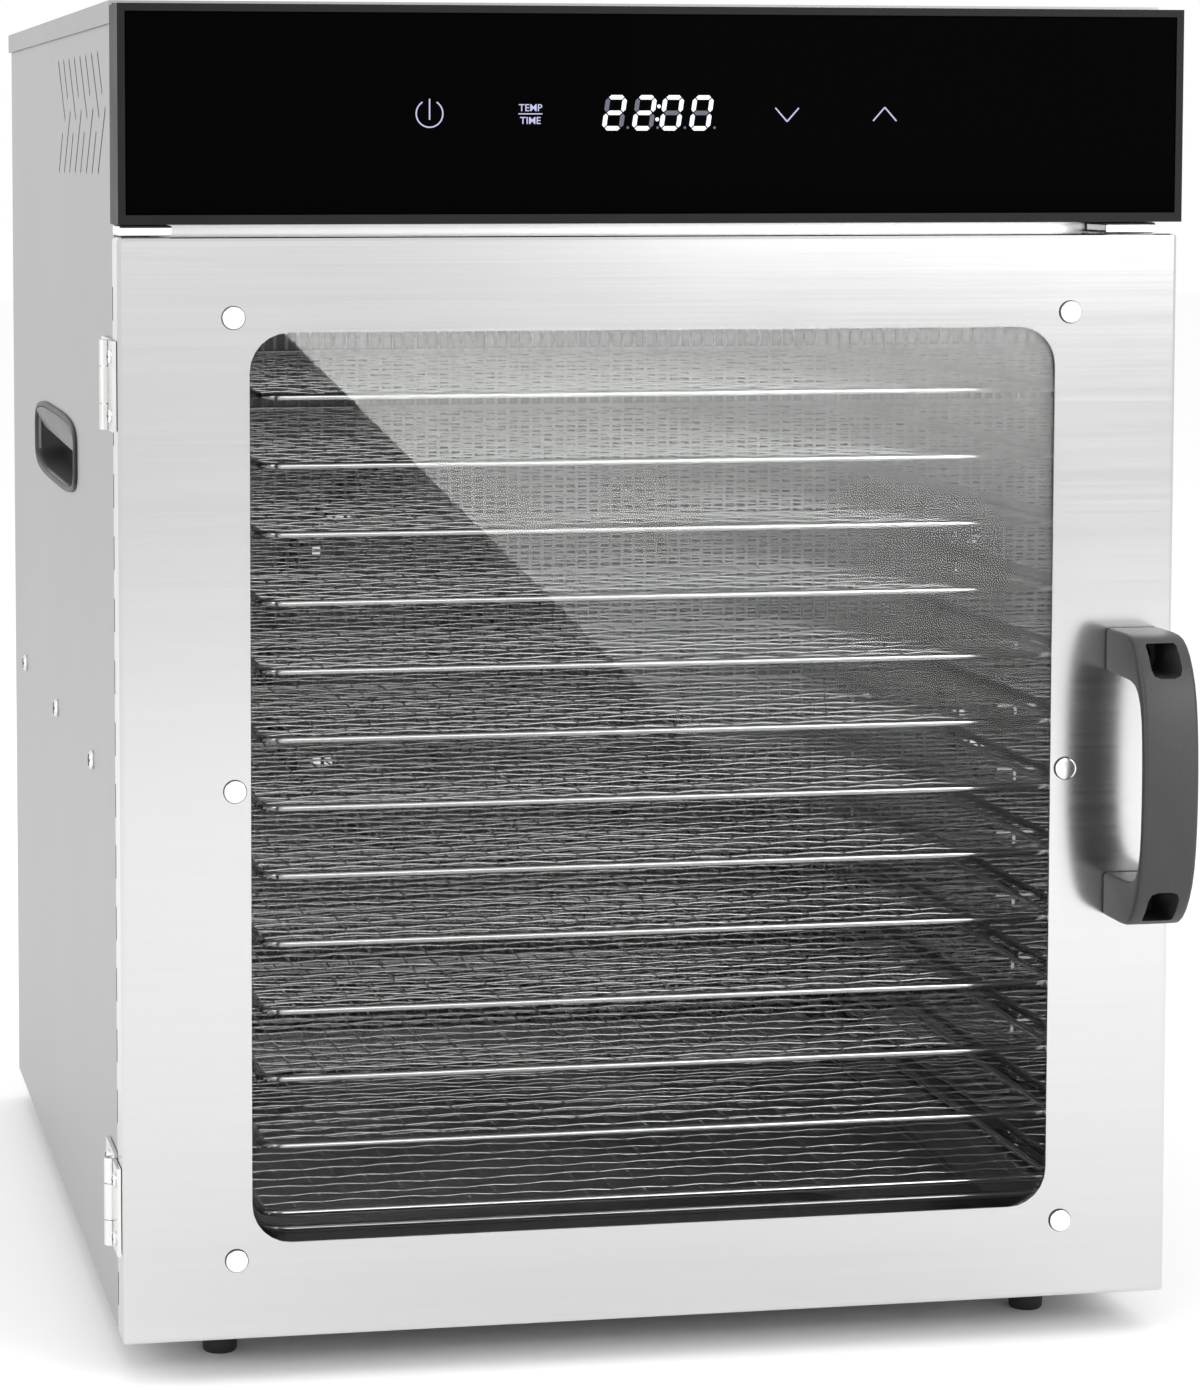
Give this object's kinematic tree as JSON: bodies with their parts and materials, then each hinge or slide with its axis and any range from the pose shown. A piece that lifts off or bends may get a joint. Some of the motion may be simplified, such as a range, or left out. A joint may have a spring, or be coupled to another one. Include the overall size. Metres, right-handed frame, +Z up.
{
  "type": "food dehydrator",
  "caption": "Steel cabinet food dehydrator with a hinged glazed door, slide-out wire mesh trays, a drip tray, a rear fan and a black glass control panel.",
  "frame": {"origin": "on the floor under the middle of the appliance", "axes": "+Z up, front of the appliance faces -Y, +X to the right seen from the front"},
  "size_m": [0.4453, 0.5764, 0.5566],
  "materials": {
    "brushed_steel": "vertical brushed stainless sheet",
    "door_steel": "brushed stainless door sheet",
    "mirror_steel": "polished stainless sheet",
    "screw_steel": "bright plated steel",
    "tray_wire": "bright plated wire",
    "black_plastic": "textured black moulding",
    "grey_plastic": "satin dark grey moulding",
    "black_glass": "gloss black glass panel",
    "clear_glass": "clear tempered glass",
    "display": "white display face",
    "rubber": "matt black rubber",
    "motor_steel": "plated motor steel",
    "heater_steel": "dull oxidised heater sheath"
  },
  "bodies": {
    "cabinet": {"side_panel_left": "brushed_steel", "side_panel_right": "brushed_steel", "top_cover": "brushed_steel", "base_pan": "brushed_steel", "rear_cover": "brushed_steel", "power_inlet": "black_plastic", "front_frame": "brushed_steel", "foot_1": "rubber", "foot_2": "rubber", "foot_3": "rubber", "foot_4": "rubber", "liner_left": "mirror_steel", "liner_right": "mirror_steel", "liner_top": "mirror_steel", "liner_bottom": "mirror_steel", "rear_baffle": "mirror_steel", "fan_motor": "motor_steel", "heater_ring": "heater_steel", "control_bezel": "grey_plastic", "control_glass": "black_glass", "display_module": "display", "fascia_bracket_left": "brushed_steel", "fascia_bracket_right": "brushed_steel", "side_handle_left": "black_plastic", "side_handle_right": "black_plastic", "hinge_body_leaf_lower": "screw_steel", "hinge_body_leaf_upper": "screw_steel", "hinge_pin_lower": "screw_steel", "hinge_pin_upper": "screw_steel", "magnet_catch": "black_plastic"},
    "door": {"door_panel": "door_steel", "door_glass": "clear_glass", "glass_retainer": "mirror_steel", "door_handle": "black_plastic", "handle_screw_lower": "screw_steel", "handle_screw_upper": "screw_steel", "cap_screw_1": "screw_steel", "cap_screw_2": "screw_steel", "cap_screw_3": "screw_steel", "cap_screw_4": "screw_steel", "cap_screw_5": "screw_steel", "cap_screw_6": "screw_steel", "hinge_door_leaf_lower": "screw_steel", "hinge_door_leaf_upper": "screw_steel"},
    "fan": {"fan_impeller": "motor_steel"},
    "drip_tray": {"drip_tray": "mirror_steel"},
    "tray_01": {"tray_01": "tray_wire"},
    "tray_02": {"tray_02": "tray_wire"},
    "tray_03": {"tray_03": "tray_wire"},
    "tray_04": {"tray_04": "tray_wire"},
    "tray_05": {"tray_05": "tray_wire"},
    "tray_06": {"tray_06": "tray_wire"},
    "tray_07": {"tray_07": "tray_wire"},
    "tray_08": {"tray_08": "tray_wire"},
    "tray_09": {"tray_09": "tray_wire"},
    "tray_10": {"tray_10": "tray_wire"},
    "tray_11": {"tray_11": "tray_wire"},
    "tray_12": {"tray_12": "tray_wire"},
    "tray_13": {"tray_13": "tray_wire"}
  },
  "joints": [
    {"name": "door_hinge", "type": "hinge", "parent": "cabinet", "child": "door", "pos_m": [-0.2222, -0.21605, 0.24], "axis": [0, 0, -1], "range_deg": [0, 175]},
    {"name": "fan_spin", "type": "hinge", "parent": "cabinet", "child": "fan", "pos_m": [0.0135, 0.23125, 0.238], "axis": [0, 1, 0], "continuous": true},
    {"name": "tray_01_slide", "type": "slide", "parent": "cabinet", "child": "tray_01", "axis": [0, -1, 0], "range_m": [0, 0.26]},
    {"name": "tray_02_slide", "type": "slide", "parent": "cabinet", "child": "tray_02", "axis": [0, -1, 0], "range_m": [0, 0.26]},
    {"name": "tray_03_slide", "type": "slide", "parent": "cabinet", "child": "tray_03", "axis": [0, -1, 0], "range_m": [0, 0.26]},
    {"name": "tray_04_slide", "type": "slide", "parent": "cabinet", "child": "tray_04", "axis": [0, -1, 0], "range_m": [0, 0.26]},
    {"name": "tray_05_slide", "type": "slide", "parent": "cabinet", "child": "tray_05", "axis": [0, -1, 0], "range_m": [0, 0.26]},
    {"name": "tray_06_slide", "type": "slide", "parent": "cabinet", "child": "tray_06", "axis": [0, -1, 0], "range_m": [0, 0.26]},
    {"name": "tray_07_slide", "type": "slide", "parent": "cabinet", "child": "tray_07", "axis": [0, -1, 0], "range_m": [0, 0.26]},
    {"name": "tray_08_slide", "type": "slide", "parent": "cabinet", "child": "tray_08", "axis": [0, -1, 0], "range_m": [0, 0.26]},
    {"name": "tray_09_slide", "type": "slide", "parent": "cabinet", "child": "tray_09", "axis": [0, -1, 0], "range_m": [0, 0.26]},
    {"name": "tray_10_slide", "type": "slide", "parent": "cabinet", "child": "tray_10", "axis": [0, -1, 0], "range_m": [0, 0.26]},
    {"name": "tray_11_slide", "type": "slide", "parent": "cabinet", "child": "tray_11", "axis": [0, -1, 0], "range_m": [0, 0.26]},
    {"name": "tray_12_slide", "type": "slide", "parent": "cabinet", "child": "tray_12", "axis": [0, -1, 0], "range_m": [0, 0.26]},
    {"name": "tray_13_slide", "type": "slide", "parent": "cabinet", "child": "tray_13", "axis": [0, -1, 0], "range_m": [0, 0.26]},
    {"name": "drip_tray_slide", "type": "slide", "parent": "cabinet", "child": "drip_tray", "axis": [0, -1, 0], "range_m": [0, 0.26]}
  ],
  "couplings": [
    {"joint": "tray_01_slide", "follows": "door_hinge", "m_per_rad": 0.085},
    {"joint": "tray_02_slide", "follows": "door_hinge", "m_per_rad": 0.085},
    {"joint": "tray_03_slide", "follows": "door_hinge", "m_per_rad": 0.085},
    {"joint": "tray_04_slide", "follows": "door_hinge", "m_per_rad": 0.085},
    {"joint": "tray_05_slide", "follows": "door_hinge", "m_per_rad": 0.085},
    {"joint": "tray_06_slide", "follows": "door_hinge", "m_per_rad": 0.085},
    {"joint": "tray_07_slide", "follows": "door_hinge", "m_per_rad": 0.085},
    {"joint": "tray_08_slide", "follows": "door_hinge", "m_per_rad": 0.085},
    {"joint": "tray_09_slide", "follows": "door_hinge", "m_per_rad": 0.085},
    {"joint": "tray_10_slide", "follows": "door_hinge", "m_per_rad": 0.085},
    {"joint": "tray_11_slide", "follows": "door_hinge", "m_per_rad": 0.085},
    {"joint": "tray_12_slide", "follows": "door_hinge", "m_per_rad": 0.085},
    {"joint": "tray_13_slide", "follows": "door_hinge", "m_per_rad": 0.085},
    {"joint": "drip_tray_slide", "follows": "door_hinge", "m_per_rad": 0.085}
  ]
}
